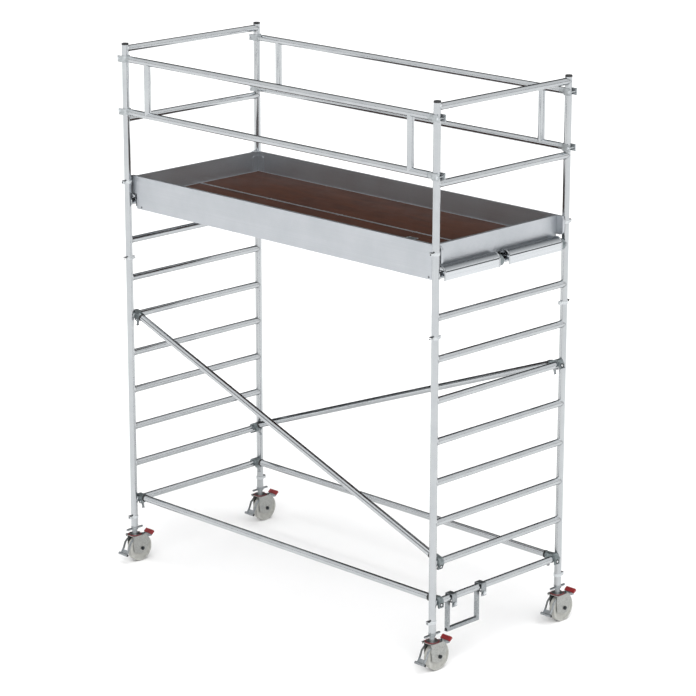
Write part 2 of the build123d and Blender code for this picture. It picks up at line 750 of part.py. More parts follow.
def castor_fork():
    """Pressed head with side lips, two legs, the swivel race and the brake's pivot studs."""
    half = head_size / 2
    square = [(-half, -half), (half, -half), (half, half), (-half, half)]
    top = along_z(outline(square, head_corner), head_under, head_top)
    for side in (-1, 1):
        top += block((side * half, side * (half - head_plate)), (-half + head_corner, half - head_corner),
                     (head_top - head_lip, head_top - 1.0))
        leg = along_x(leg_outline(), leg_gap, leg_gap + leg_thickness)
        leg += rod((leg_gap - 3.5, wheel_trail, wheel_r), (leg_gap, wheel_trail, wheel_r), 17.0)
        leg += rod((leg_gap - 3.6, brake_pivot_y, head_top - brake_pivot_drop),
                   (leg_gap, brake_pivot_y, head_top - brake_pivot_drop), brake_pin_r)
        top += leg if side > 0 else mirror(leg, about=Plane.YZ)
    top += rod((0, 0, head_top), (0, 0, head_top + race_height), race_r)
    top -= rod((0, 0, 0), (0, 0, frame_bottom), stem_r + running_gap)
    reach = half + 10.0
    return top - rod((-reach, wheel_trail, wheel_r), (reach, wheel_trail, wheel_r), axle_r + running_gap)


def hexagon(across):
    return RegularPolygon(across / 2, 6, major_radius=False)


def castor_axle():
    """Bolt through both legs and the wheel, with its head and nut."""
    face = leg_gap + leg_thickness
    bolt = rod((-face - 3.0, wheel_trail, wheel_r), (face + 12.0, wheel_trail, wheel_r), axle_r)
    place = Pos(wheel_trail, wheel_r)
    head = along_x(place * hexagon(24.0), -face - 11.0, -face)
    nut = along_x(place * hexagon(24.0), face, face + 9.0)
    return [bolt + head + nut]


def castor_wheel():
    """Wheel body with a deep hub, and the tyre round it."""
    seat_r = wheel_r - tyre_depth
    half = wheel_width / 2
    web = half - 3.0
    bore = axle_r + running_gap
    hub_end = hub_width / 2
    body = turned([(bore, -hub_end), (hub_r, -hub_end), (hub_r, -web), (seat_r, -web),
                   (seat_r, web), (hub_r, web), (hub_r, hub_end), (bore, hub_end)])
    tyre = turned([(seat_r, -half), (wheel_r, -half), (wheel_r, half), (seat_r, half)])
    tyre = fillet(tyre.edges().filter_by(GeomType.CIRCLE).sort_by(SortBy.RADIUS)[-2:], 7.0)
    place = Pos(0, wheel_trail, wheel_r)
    return [place * body, place * tyre]


def shoe_plane(radius):
    """Plane that touches a circle round the axle at the brake shoe, facing outward."""
    angle = radians(brake_shoe_angle)
    return Plane(origin=(0, wheel_trail + radius * sin(angle), wheel_r + radius * cos(angle)),
                 x_dir=(1, 0, 0), z_dir=(0, sin(angle), cos(angle)))


def shoe_gap():
    """Gap between shoe and tyre at rest: what the travel closes, and a clearance."""
    angle = radians(brake_shoe_angle)
    arm_y = wheel_trail + wheel_r * sin(angle) - brake_pivot_y
    arm_z = wheel_r + wheel_r * cos(angle) - (head_top - brake_pivot_drop)
    return radians(brake_travel) * (arm_y * cos(angle) - arm_z * sin(angle)) + brake_shoe_clear


def lever_plane():
    """Middle of the tilted tongue that carries the brake lever."""
    angle = radians(lever_tilt)
    reach = shoe_plane(wheel_r + shoe_gap() + shoe_rise).origin
    place = (0, reach.Y + lever_offset[0], reach.Z + lever_offset[1])
    return Plane(origin=place, x_dir=(1, 0, 0), z_dir=(0, -sin(angle), cos(angle)))


def brake_pedal():
    """Rocker: two side plates, the pedal's rolled bar in front, the shoe and the tongue behind."""
    pivot = (brake_pivot_y, head_top - brake_pivot_drop)
    bar = (wheel_trail - wheel_r - 56.0, wheel_r - 18.0)
    shoe = shoe_plane(wheel_r + shoe_gap() + shoe_rise).origin
    line = [bar, (bar[0] + 14, bar[1] + 14), (bar[0] + 30, bar[1] + 42), (bar[0] + 44, pivot[1] - 24),
            (bar[0] + 64, pivot[1] - 6), (pivot[0] - 20, pivot[1]), pivot,
            (pivot[0] + 60, pivot[1] + 3), (shoe.Y, shoe.Z)]
    plate = outline(ribbon(line, brake_arm_half))
    plate = plate + Pos(*pivot) * Circle(brake_boss_r) + Pos(*bar) * Circle(pedal_bar_d / 2)
    outer = leg_gap - 0.4
    rocker = along_x(plate, outer - brake_plate, outer)
    rocker += along_x(plate, -outer, brake_plate - outer)
    rocker += shoe_plane(wheel_r + shoe_gap() + shoe_rise).location * Box(2 * outer, 24.0, 4.0)
    rocker += shoe_plane(wheel_r + shoe_gap() + 4.5).location * Box(wheel_width - 6.0, 22.0, 9.0)
    rocker += lever_plane().location * Box(2 * outer, 40.0, 4.0)
    half = leg_gap + pedal_overhang
    rocker += rod((-half, *bar), (half, *bar), pedal_bar_d / 2)
    web = Plane(origin=(0, bar[0] + 12.0, bar[1] + 14.0), x_dir=(1, 0, 0), z_dir=(0, -1, 1))
    rocker += web.location * Box(2 * outer, 34.0, 3.0)
    rocker -= rod((-half, *bar), (half, *bar), pedal_bar_d / 2 - 3.0)
    rocker -= rod((-leg_gap, *pivot), (leg_gap, *pivot), brake_pin_r + running_gap)
    return rocker - brake_lever()


def brake_lever():
    """Plastic foot lever moulded on the tongue behind the wheel."""
    length, width, thickness = lever_size
    block_shape = Pos(0, 0, 2.0 + thickness / 2) * Box(length, width, thickness)
    block_shape = fillet(block_shape.edges().filter_by(Axis.Z), 4.0)
    return lever_plane().location * block_shape


# ---------------------------------------------------------------- write every node


def write_frames():
    """The six end frames and what joins them."""
    for name, side in (("left", -1), ("right", 1)):
        x = side * post_x
        lower_bars = [rung_z(n) for n in range(1, lower_rungs + 1)]
        upper_bars = [rung_z(lower_rungs + n) for n in range(1, upper_rungs + 1)]
        guard_bars = [upper_top + rise for rise in guard_rail_rises]
        save("lower_frame_" + name, *end_frame(x, frame_bottom, lower_top, lower_bars, rung_d, rung_wall))
        save("upper_frame_" + name, *end_frame(x, lower_top, upper_top, upper_bars, rung_d, rung_wall))
        save("guard_frame_" + name, *end_frame(x, upper_top, guard_top, guard_bars, rung_d, rung_wall))
    posts = [(side_x * post_x, side_y * post_y, side_y) for _, side_x, side_y in corners]
    save("frame_spigots", *[spigot(x, y, z) for x, y, _ in posts for z in (lower_top, upper_top)])
    save("post_caps", *[post_cap(x, y) for x, y, _ in posts])
    joints = ((frame_bottom, 1), (lower_top, -1), (upper_top, 1))
    save("locking_clips", *[locking_clip(x, y, z, side * out) for x, y, side in posts for z, out in joints])


def write_braces():
    """Tubes, claws and latches of the four braces."""
    save("base_braces", brace_tube("base_front"), brace_tube("base_rear"))
    save("diagonal_braces", brace_tube("diagonal_front"), brace_tube("diagonal_rear"))
    claws = []
    for name, places in braces.items():
        left, right, _, _ = brace_ends(*places)
        for end, place in (("left", left), ("right", right)):
            claws.append(place * brace_claw())
            save("brace_latch_" + name + "_" + end, place * brace_latch())
    save("brace_claws", *claws)


def write_guardrails():
    """Both double guardrails and their claws."""
    save("double_guardrail_front", *double_guardrail(-post_y))
    save("double_guardrail_rear", *double_guardrail(post_y))
    save("guardrail_claws", *guardrail_claws())


def write_platforms():
    """Both platforms, the trapdoor and the locks that hold them on the rungs."""
    save("platform_frame_front", *platform_frame(-1, True), *door_pins())
    save("platform_frame_rear", *platform_frame(1, False))
    save("deck_panel_front", *deck_boards(-1, True))
    save("deck_panel_rear", *deck_boards(1, False))
    save("trapdoor", *trapdoor())
    save("trapdoor_latch", trapdoor_latch())
    spans = hook_spans()
    save("platform_hooks", *[platform_hook(end, *span) for end in (-1, 1) for span in spans])
    for name, span in (("front", spans[0]), ("rear", spans[1])):
        for end_name, end in (("left", -1), ("right", 1)):
            save("wind_lock_" + name + "_" + end_name, wind_lock(end, span[1] + 1.0))
    save("deck_rivets", *deck_rivets())


def write_toe_boards():
    """Boards round the deck and their corner angles."""
    save("toe_boards_side", *side_toe_board(-1), *side_toe_board(1))
    save("toe_boards_end", end_toe_board(-1), end_toe_board(1))
    save("toe_board_brackets", *[toe_bracket(end, side) for end in (-1, 1) for side in (-1, 1)])


def write_castors():
    """Four castors, each as fork, axle, wheel, pedal and lever, and the stems in the posts."""
    stems = []
    for name, side_x, side_y in corners:
        place = Pos(side_x * post_x, side_y * post_y, 0)
        stems += [place * piece for piece in castor_stem()]
        save("castor_fork_" + name, place * castor_fork())
        save("castor_axle_" + name, *[place * piece for piece in castor_axle()])
        save("castor_wheel_" + name, *[place * piece for piece in castor_wheel()])
        save("brake_pedal_" + name, place * brake_pedal())
        save("brake_lever_" + name, place * brake_lever())
    save("castor_stems", *stems)


os.makedirs("parts", exist_ok=True)
write_frames()
write_braces()
write_guardrails()
write_platforms()
write_toe_boards()
save("step_bracket", *step_bracket())
write_castors()
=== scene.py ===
import json
import math

import bmesh
import bpy
import numpy as np
from bpy.props import FloatProperty, FloatVectorProperty, IntProperty, PointerProperty
from mathutils import Matrix, Vector


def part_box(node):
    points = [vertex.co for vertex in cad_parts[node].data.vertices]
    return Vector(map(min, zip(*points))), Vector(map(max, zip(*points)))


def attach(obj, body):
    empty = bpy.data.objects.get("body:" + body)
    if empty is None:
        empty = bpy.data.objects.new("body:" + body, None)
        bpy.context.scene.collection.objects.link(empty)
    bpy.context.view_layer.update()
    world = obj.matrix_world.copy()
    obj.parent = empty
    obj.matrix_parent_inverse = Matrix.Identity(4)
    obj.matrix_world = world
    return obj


bl_info = {
    "name": "Rolling Frame Tower",
    "version": (1, 0, 0),
    "blender": (4, 5, 0),
    "location": "View3D > Sidebar > Tower",
    "description": "Finishes and small parts of an aluminium frame tower on castors",
    "category": "Object",
}

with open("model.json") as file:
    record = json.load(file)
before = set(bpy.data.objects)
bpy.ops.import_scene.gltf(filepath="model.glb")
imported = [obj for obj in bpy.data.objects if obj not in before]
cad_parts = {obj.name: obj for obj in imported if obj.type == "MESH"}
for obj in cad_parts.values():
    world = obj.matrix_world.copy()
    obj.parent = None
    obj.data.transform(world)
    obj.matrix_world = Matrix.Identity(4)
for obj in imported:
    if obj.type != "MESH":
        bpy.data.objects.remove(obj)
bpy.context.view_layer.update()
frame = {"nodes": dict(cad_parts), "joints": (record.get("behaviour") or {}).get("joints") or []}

MM = 0.001
FULL_TURN = 2 * math.pi
CORNERS = ("front_left", "front_right", "rear_left", "rear_right")
# Fittings are let this far into the piece that carries them, so that no gap shows under them.
SUNK = 0.2 * MM


# ---------------------------------------------------------------- places taken from the frame


def span(node, axis):
    """Lowest and highest value of a node along one axis."""
    low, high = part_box(node)
    return low[axis], high[axis]


def joint_named(name):
    """The record's joint of that name."""
    return next(joint for joint in frame["joints"] if joint["name"] == name)


post_low, post_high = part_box("lower_frame_right")
TUBE_R = (post_high.x - post_low.x) / 2
POST_X = (post_low.x + post_high.x) / 2
POST_Y = post_high.y - TUBE_R
FRAME_BOTTOM = post_low.z
LOWER_TOP = post_high.z
UPPER_TOP = span("upper_frame_right", 2)[1]
DECK_TOP = span("deck_panel_rear", 2)[1]


# ---------------------------------------------------------------- sizes and colours a user may change


def length(name, description, metres):
    """A length in metres that a user may change."""
    return FloatProperty(name=name, description=description, default=metres, unit="LENGTH")


class TowerSizes(bpy.types.PropertyGroup):
    rung_pitch: length("Rung pitch", "Height from rung to rung", 0.28)
    first_rung: length("First rung", "First rung above the lower end of its posts", 0.205)
    rung_radius: length("Rung radius", "Outer radius of a rung", 0.024)
    lower_rungs: IntProperty(name="Lower rungs", description="Rungs in a lower frame", default=7, min=1)
    upper_rungs: IntProperty(name="Upper rungs", description="Rungs in an upper frame", default=2, min=0)
    weld_radius: length("Weld", "Half thickness of a weld bead", 0.0032)
    guard_rail_low: length("Low rail", "Lower rail of a guard frame above the upper frame", 0.53)
    guard_rail_high: length("High rail", "Upper rail of a guard frame above the upper frame", 1.03)
    clip_rise: length("Clip rise", "Middle of a locking clip above its joint", 0.075)
    clip_half: length("Clip half", "Half height of a locking clip", 0.01)
    clip_lug: length("Clip lug", "How far a clip's lug stands out of the post", 0.025)
    cap_width: length("Cap width", "Clip cap along the deck", 0.027)
    cap_depth: length("Cap depth", "Clip cap out of the post", 0.021)
    double_rail_low: length("Lower guardrail", "Lower double rail above the upper frame", 0.582)
    double_rail_high: length("Upper guardrail", "Upper double rail above the upper frame", 0.96)
    rail_pin_reach: length("Pin reach", "Half length of a guardrail claw's pin", 0.0364)
    rail_pin_offset: length("Pin offset", "Guardrail claw's pin from the post's axis", 0.035)
    rail_nut: length("Pin nut", "Guardrail pin's nut across its flats", 0.013)
    brace_y: length("Brace", "Brace axis from the middle of the frame", 0.588)
    brace_rise: length("Brace rise", "Brace axis above the line of the rungs' axes", 0.0155)
    claw_reach: length("Claw reach", "Rung axis to the end of the brace's tube", 0.0622)
    claw_back: length("Claw back", "Rung axis to the outside of the claw's finger", 0.0369)
    claw_button_drop: length("Claw button", "Button below the rung's axis", 0.014)
    collar_length: length("Collar", "Length of a brace collar", 0.014)
    claw_face: length("Claw face", "Outer cheek from the middle of the frame", 0.611)
    strip_width: length("Edge strip", "Width of a deck edge strip", 0.0045)
    strip_thickness: length("Strip thickness", "Thickness of a deck edge strip", 0.0014)
    hook_radius: length("Hook", "Outer radius of a hook's crown", 0.045)
    hook_length: length("Hook length", "Length of a hook across the deck", 0.536)
    band_width: length("Band", "Width of a hook's end band", 0.012)
    band_thickness: length("Band thickness", "Thickness of a hook's end band", 0.0024)
    seal_radius: length("Dust ring", "Radius of the castor's race", 0.047)
    wheel_half: length("Wheel", "Half width of a wheel", 0.024)
    lever_tilt: FloatProperty(name="Lever tilt", description="Lever from level, in degrees", default=38.0)
    lever_top: length("Lever top", "Ribs above the lever's middle", 0.0076)
    pedal_bar_radius: length("Pedal bar", "Radius of the pedal's bar", 0.01)
    camera_lens: FloatProperty(name="Lens", description="Focal length in mm", default=147.3, unit="CAMERA")


def colour(code):
    """An sRGB hex code as the linear colour a shader takes."""
    parts = [int(code[i:i + 2], 16) / 255 for i in (1, 3, 5)]
    return (*[part / 12.92 if part <= 0.04045 else ((part + 0.055) / 1.055) ** 2.4 for part in parts], 1.0)


def finish_colour(name, description, code):
    """A colour that a user may change, given as an sRGB hex code."""
    return FloatVectorProperty(
        name=name, description=description, default=colour(code), subtype="COLOR", size=4, min=0.0, max=1.0
    )


class TowerColours(bpy.types.PropertyGroup):
    aluminium: finish_colour("Aluminium", "Mill finished tubes", "#B8BBBD")
    toe_board: finish_colour("Toe boards", "Toe boards and platform beams", "#B8BBBF")
    plywood: finish_colour("Plywood", "Film on the deck's plywood", "#402213")


# ---------------------------------------------------------------- materials


# Die lines are about 0.5 mm apart; they are drawn 3 mm apart, so that they still show on a whole tower.
DIE_LINES = 330.0
DIE_LINE_DEPTH = 0.03 * MM
# A pattern drawn out this much along the tube turns into straight lines.
ALONG = 0.004
# The pressed mesh of the plywood's film is 2.5 mm apart; it is drawn 8 mm apart, so that it still shows.
FILM_MESH = 125.0
# Zinc spangle of about 6 mm.
SPANGLE = 160.0


def chosen(name):
    """A colour that the user has set, as a shader takes it."""
    return tuple(getattr(bpy.context.scene.tower_colours, name))


def add(tree, kind, inputs=None, **settings):
    """Adds one node. Settings are its own properties; inputs are constants or the outputs that feed it."""
    made = tree.nodes.new("ShaderNode" + kind)
    for name, value in settings.items():
        setattr(made, name, value)
    for name, value in (inputs or {}).items():
        if isinstance(value, bpy.types.NodeSocket):
            tree.links.new(value, made.inputs[name])
        else:
            made.inputs[name].default_value = value
    return made


def blank(name):
    """An empty material: its tree and the object coordinates in it."""
    material = bpy.data.materials.new(name)
    material.use_nodes = True
    tree = material.node_tree
    tree.nodes.clear()
    return material, tree, add(tree, "TexCoord").outputs["Object"]


def noise(tree, place, scale, detail=3.0, rough=0.5, stretch=(1.0, 1.0, 1.0)):
    """Soft random pattern from 0 to 1, stretched along an axis where its factor is below one."""
    fitted = add(tree, "Mapping", {"Vector": place, "Scale": stretch}).outputs[0]
    pattern = add(tree, "TexNoise", {"Vector": fitted, "Scale": scale, "Detail": detail, "Roughness": rough})
    return pattern.outputs[0]


def spread(tree, value, from_low, from_high, to_low, to_high):
    """A pattern's values carried from one range to another and held inside it."""
    return add(tree, "MapRange", {0: value, 1: from_low, 2: from_high, 3: to_low, 4: to_high}).outputs[0]


def mixed(tree, factor, first, second):
    """Two colours mixed by a pattern."""
    return add(tree, "Mix", {0: factor, 6: first, 7: second}, data_type="RGBA").outputs[2]


def relief(tree, height, distance):
    """Normal of a surface whose height follows a pattern."""
    return add(tree, "Bump", {"Height": height, "Distance": distance, "Strength": 1.0}).outputs[0]


def close(tree, material, **sockets):
    """Principled surface with these sockets, and the output."""
    inputs = {name.replace("_", " "): value for name, value in sockets.items()}
    shader = add(tree, "BsdfPrincipled", inputs)
    add(tree, "OutputMaterial", {"Surface": shader.outputs[0]})
    return material


def extruded_aluminium(name, along, gloss=(0.13, 0.18)):
    """Extruded 6000-series tube, mill finish: fine die lines along the tube, cloudy oxide, a satin gloss."""
    material, tree, place = blank(name)
    stretch = [1.0 if axis != along else ALONG for axis in "xyz"]
    lines = noise(tree, place, DIE_LINES, 2.0, 0.6, stretch)
    cloud = noise(tree, place, 9.0, 4.0, 0.55)
    base = mixed(tree, spread(tree, cloud, 0.3, 0.7, 0.0, 1.0), chosen("aluminium"), colour("#B0B3B6"))
    base = mixed(tree, spread(tree, lines, 0.35, 0.65, 0.0, 0.3), base, colour("#A0A4A7"))
    rough = spread(tree, cloud, 0.3, 0.7, *gloss)
    return close(tree, material, Base_Color=base, Metallic=1.0, Roughness=rough,
                 Normal=relief(tree, lines, DIE_LINE_DEPTH))


def end_frame_aluminium():
    """End frame: posts and rungs of extruded tube, with die lines along each and heat tint at the welds."""
    material, tree, place = blank("aluminium_6060_extruded_welded")
    apart = add(tree, "SeparateXYZ", {0: place})
    side = add(tree, "Math", {0: apart.outputs[1]}, operation="ABSOLUTE").outputs[0]
    on_post = add(tree, "Math", {0: side, 1: POST_Y - TUBE_R}, operation="GREATER_THAN").outputs[0]
    post_lines = noise(tree, place, DIE_LINES, 2.0, 0.6, (1.0, 1.0, ALONG))
    rung_lines = noise(tree, place, DIE_LINES, 2.0, 0.6, (1.0, ALONG, 1.0))
    lines = add(tree, "Mix", {0: on_post, 2: rung_lines, 3: post_lines}).outputs[0]
    cloud = noise(tree, place, 9.0, 4.0, 0.55)
    base = mixed(tree, spread(tree, cloud, 0.3, 0.7, 0.0, 1.0), chosen("aluminium"), colour("#B0B3B6"))
    base = mixed(tree, spread(tree, lines, 0.35, 0.65, 0.0, 0.3), base, colour("#A0A4A7"))
    gap = add(tree, "Math", {0: side, 1: POST_Y - TUBE_R}, operation="SUBTRACT").outputs[0]
    away = add(tree, "Math", {0: gap}, operation="ABSOLUTE").outputs[0]
    # The heat of a weld leaves a duller band about 12 mm wide.
    base = mixed(tree, spread(tree, away, 4 * MM, 14 * MM, 0.5, 0.0), base, colour("#A9ABAC"))
    rough = spread(tree, cloud, 0.3, 0.7, 0.13, 0.18)
    return close(tree, material, Base_Color=base, Metallic=1.0, Roughness=rough,
                 Normal=relief(tree, lines, DIE_LINE_DEPTH))


def rolled_sheet():
    """Rolled aluminium toe board, mill finish: straight rolling marks along the board, dull and even."""
    material, tree, place = blank("aluminium_toe_board_rolled")
    marks = noise(tree, place, 160.0, 3.0, 0.6, (ALONG, 0.2, 1.0))
    cloud = noise(tree, place, 5.0, 5.0, 0.6)
    base = mixed(tree, spread(tree, cloud, 0.3, 0.7, 0.0, 1.0), chosen("toe_board"), colour("#B2B6BA"))
    base = mixed(tree, spread(tree, marks, 0.4, 0.7, 0.0, 0.3), base, colour("#A8ACB0"))
    rough = spread(tree, cloud, 0.3, 0.7, 0.36, 0.46)
    return close(tree, material, Base_Color=base, Metallic=1.0, Roughness=rough,
                 Normal=relief(tree, marks, 0.05 * MM))


def hook_aluminium():
    """Extruded hook shell: painted shade darkens the rolled crown, and a thin painted shade line lies where
    the crown meets the skirt.
    """
    material, tree, place = blank("aluminium_hook_extruded_rolled")
    low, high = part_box("platform_hooks")
    height = add(tree, "SeparateXYZ", {0: place}).outputs[2]
    lines = noise(tree, place, DIE_LINES, 2.0, 0.6, (1.0, ALONG, 1.0))
    base = mixed(tree, spread(tree, lines, 0.35, 0.65, 0.0, 0.5), colour("#C9CCCF"), colour("#B2B6BA"))
    crown_foot, crown_full, skirt_shade_line = high.z - 34 * MM, high.z - 8 * MM, high.z - 36 * MM
    # Painted shade: a dark grey band painted over the rolled crown, fading in from 34 mm below the top to full
    # at 8 mm below it.
    crown_shade = spread(tree, height, crown_foot, crown_full, 0.0, 1.0)
    base = mixed(tree, crown_shade, base, colour("#6E7276"))
    # Painted shade: a thin dark line painted in the crease where the crown meets the skirt, 36 mm below the
    # top.
    joint = add(tree, "Math", {0: height, 1: skirt_shade_line}, operation="SUBTRACT").outputs[0]
    joint = add(tree, "Math", {0: joint}, operation="ABSOLUTE").outputs[0]
    base = mixed(tree, spread(tree, joint, 2 * MM, 4 * MM, 1.0, 0.0), base, colour("#34373A"))
    rough = spread(tree, lines, 0.3, 0.7, 0.18, 0.26)
    return close(tree, material, Base_Color=base, Metallic=1.0, Roughness=rough,
                 Normal=relief(tree, lines, DIE_LINE_DEPTH))


def film_plywood():
    """Birch plywood with a phenolic film pressed on a wire mesh: dark brown, low gloss, fine mesh dimples."""
    material, tree, place = blank("birch_plywood_phenolic_film_mesh")
    cells = add(tree, "TexVoronoi", {"Vector": place, "Scale": FILM_MESH, "Randomness": 0.0}, feature="F1")
    mesh = cells.outputs[0]
    grain = noise(tree, place, 30.0, 6.0, 0.6, (0.12, 1.0, 1.0))
    worn = noise(tree, place, 3.0, 5.0, 0.6)
    scuffs = noise(tree, place, 90.0, 2.0, 0.7, (0.06, 1.0, 1.0))
    base = mixed(tree, spread(tree, grain, 0.3, 0.7, 0.0, 1.0), chosen("plywood"), colour("#25120A"))
    base = mixed(tree, spread(tree, worn, 0.45, 0.75, 0.0, 0.4), base, colour("#3F2416"))
    base = mixed(tree, spread(tree, scuffs, 0.66, 0.8, 0.0, 0.2), base, colour("#573A28"))
    height = add(tree, "Mix", {0: 0.35, 2: mesh, 3: grain}).outputs[0]
    return close(tree, material, Base_Color=base, Roughness=spread(tree, worn, 0.35, 0.7, 0.45, 0.62),
                 Specular_IOR_Level=0.2, Normal=relief(tree, height, 0.3 * MM))


def cast_aluminium(name, light, dark):
    """Sand-cast alloy, shot blasted: grainy and cloudy, matt."""
    material, tree, place = blank(name)
    grit = noise(tree, place, 700.0, 2.0, 0.6)
    cloud = noise(tree, place, 40.0, 4.0, 0.6)
    base = mixed(tree, spread(tree, cloud, 0.3, 0.7, 0.0, 1.0), colour(light), colour(dark))
    rough = spread(tree, grit, 0.3, 0.7, 0.4, 0.6)
    return close(tree, material, Base_Color=base, Metallic=1.0, Roughness=rough,
                 Normal=relief(tree, grit, 0.3 * MM))


def galvanised(name, light, dark):
    """Zinc plated steel: spangled grey patches, satin, slightly blue."""
    material, tree, place = blank(name)
    spangle = add(tree, "TexVoronoi", {"Vector": place, "Scale": SPANGLE}, feature="F1").outputs["Color"]
    patch = add(tree, "SeparateXYZ", {0: spangle}).outputs[0]
    cloud = noise(tree, place, 25.0, 4.0, 0.6)
    base = mixed(tree, patch, colour(light), colour(dark))
    base = mixed(tree, spread(tree, cloud, 0.5, 0.8, 0.0, 0.4), base, colour("#7F8487"))
    rough = spread(tree, patch, 0.0, 1.0, 0.28, 0.44)
    return close(tree, material, Base_Color=base, Metallic=1.0, Roughness=rough,
                 Normal=relief(tree, patch, 0.04 * MM))


def moulded_plastic(name, light, dark, roughness):
    """Injection-moulded plastic with a spark-eroded skin: fine matt grain, faint flow marks."""
    material, tree, place = blank(name)
    skin = noise(tree, place, 900.0, 2.0, 0.6)
    flow = noise(tree, place, 35.0, 3.0, 0.5)
    base = mixed(tree, spread(tree, flow, 0.35, 0.7, 0.0, 1.0), colour(light), colour(dark))
    rough = spread(tree, flow, 0.3, 0.7, roughness - 0.06, roughness + 0.06)
    return close(tree, material, Base_Color=base, Roughness=rough,
                 Normal=relief(tree, skin, 0.1 * MM))


def paint(node, *materials):
    """Gives a CAD node its materials through its object's slots."""
    shape = frame["nodes"][node]
    if not shape.data.materials:
        shape.data.materials.append(None)
    for index, slot in enumerate(shape.material_slots):
        slot.link = "OBJECT"
        slot.material = materials[min(index, len(materials) - 1)]


# ---------------------------------------------------------------- surfaces


def ring(radius, count, start=0.0):
    """Points of a circle: radius times the cosine and sine of equal steps of angle."""
    angle = start + np.arange(count) * FULL_TURN / count
    return np.stack([radius * np.cos(angle), radius * np.sin(angle)], -1)


def rounded_loop(width, depth, corner, per_corner=5):
    """Rounded rectangle: four quarter circles whose middles sit a corner radius inside the sides."""
    quarter = np.linspace(0, math.pi / 2, per_corner)
    angle = (quarter[None, :] + np.arange(4)[:, None] * math.pi / 2).ravel()
    middle_x = np.repeat(np.array([1, -1, -1, 1]) * (width / 2 - corner), per_corner)
    middle_y = np.repeat(np.array([1, 1, -1, -1]) * (depth / 2 - corner), per_corner)
    return np.stack([middle_x + corner * np.cos(angle), middle_y + corner * np.sin(angle)], -1)


def stacked(loop, levels):
    """A loop carried along its own axis: at each level it is scaled about its middle and set at a height.
    A first and last scale of nought close the shape."""
    scale, height = np.array(levels, float).T
    flat = loop[None, :, :] * scale[:, None, None]
    tall = np.broadcast_to(height[:, None, None], (len(levels), len(loop), 1))
    return np.concatenate([flat, tall], -1)


def lathe(profile, count):
    """A profile of (radius, height) turned once round the third axis."""
    radius, height = np.array(profile, float).T
    circle = ring(1.0, count)
    flat = circle[None, :, :] * radius[:, None, None]
    tall = np.broadcast_to(height[:, None, None], (len(profile), count, 1))
    return np.concatenate([flat, tall], -1)


def placed(grid, origins, x_dir=(1, 0, 0), z_dir=(0, 0, 1)):
    """Copies of a grid whose first and third axes lie along the given directions, one copy at each origin."""
    x_axis = np.array(Vector(x_dir).normalized())
    z_axis = np.array(Vector(z_dir).normalized())
    basis = np.stack([x_axis, np.cross(z_axis, x_axis), z_axis])
    turned = grid @ basis
    return turned[None] + np.array(origins, float).reshape(-1, *([1] * (grid.ndim - 1)), 3)


def carried(path, outward, sideways, section):
    """A section carried along a path: the path plus its first value outward and its second value sideways."""
    path, outward, sideways = (np.array(part, float) for part in (path, outward, sideways))
    section = np.array(section, float)
    if section.ndim == 2:
        section = section[None]
    out = section[..., 0, None] * outward[:, None]
    side = section[..., 1, None] * sideways[:, None]
    return path[:, None] + out + side


def capped(grid):
    """A grid with its first and last rows drawn together to their middles, so that a swept bar is closed."""
    first = np.broadcast_to(grid[:1].mean(1, keepdims=True), grid[:1].shape)
    last = np.broadcast_to(grid[-1:].mean(1, keepdims=True), grid[-1:].shape)
    return np.concatenate([first, grid, last])


def bar(start, end, outward, width, thickness, corner):
    """Straight bar of rounded rectangular section between two points. Its width lies square to outward."""
    start, end, outward = (np.array(part, float) for part in (start, end, outward))
    sideways = np.cross(outward, (end - start) / np.linalg.norm(end - start))
    section = rounded_loop(thickness, width, corner, 3)
    path = np.stack([start, end])
    return capped(carried(path, np.stack([outward] * 2), np.stack([sideways] * 2), section))


def dome(radius, height):
    """Low round head: a quarter of an ellipse turned about its middle, with a flat foot."""
    angle = np.linspace(0, math.pi / 2, 5)
    profile = [(0.0, 0.0)] + [(radius * math.cos(a), height * math.sin(a)) for a in angle]
    profile[-1] = (0.0, height)
    return lathe(profile, 16)


def hexagon_head(across, height):
    """Six-sided head with a chamfered top on a round washer: a stepped profile, six steps round."""
    radius = across / math.sqrt(3)
    washer = lathe([(0, 0), (radius * 1.35, 0), (radius * 1.35, height * 0.2), (0, height * 0.2)], 24)
    foot, edge = height * 0.2, height * 0.9
    return washer, lathe([(0, foot), (radius, foot), (radius, edge), (radius * 0.88, height), (0, height)], 6)


def quads(copies, rows, columns, wrap_rows, wrap_columns):
    """Corner numbers of the squares between neighbouring points of every copy of a grid."""
    i = np.arange(rows if wrap_rows else rows - 1)
    j = np.arange(columns if wrap_columns else columns - 1)
    a, b = np.meshgrid(i, j, indexing="ij")
    next_a, next_b = (a + 1) % rows, (b + 1) % columns
    corners = [a * columns + b, next_a * columns + b, next_a * columns + next_b, a * columns + next_b]
    one = np.stack(corners, -1)
    return (one.reshape(1, -1, 4) + np.arange(copies)[:, None, None] * rows * columns).reshape(-1, 4)


# Points nearer than this are one point: the closed ends of stacked, turned and capped shapes.
MERGE = 0.004 * MM


def make_piece(name, shells, material, body, smooth_angle=35.0):
    """One mesh from shells of points (copies, rows, columns, 3), each with whether its rows join in a ring."""
    points, faces, first = [], [], 0
    for grid, wrap_rows in shells:
        copies, rows, columns, _ = grid.shape
        faces.append(quads(copies, rows, columns, wrap_rows, True) + first)
        points.append(grid.reshape(-1, 3))
        first += copies * rows * columns
    mesh = bpy.data.meshes.new(name)
    mesh.from_pydata(np.concatenate(points).tolist(), [], np.concatenate(faces).tolist())
    shape = bmesh.new()
    shape.from_mesh(mesh)
    bmesh.ops.remove_doubles(shape, verts=shape.verts, dist=MERGE)
    bmesh.ops.recalc_face_normals(shape, faces=shape.faces)
    for face in shape.faces:
        face.smooth = True
    for edge in shape.edges:
        edge.smooth = len(edge.link_faces) == 2 and edge.calc_face_angle(0.0) < math.radians(smooth_angle)
    shape.to_mesh(mesh)
    shape.free()
    if not mesh.polygons:
        raise RuntimeError(f"{name} has no faces")
    piece = bpy.data.objects.new(name, mesh)
    bpy.context.scene.collection.objects.link(piece)
    mesh.materials.append(material)
    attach(piece, body)
    return piece


# ---------------------------------------------------------------- operators


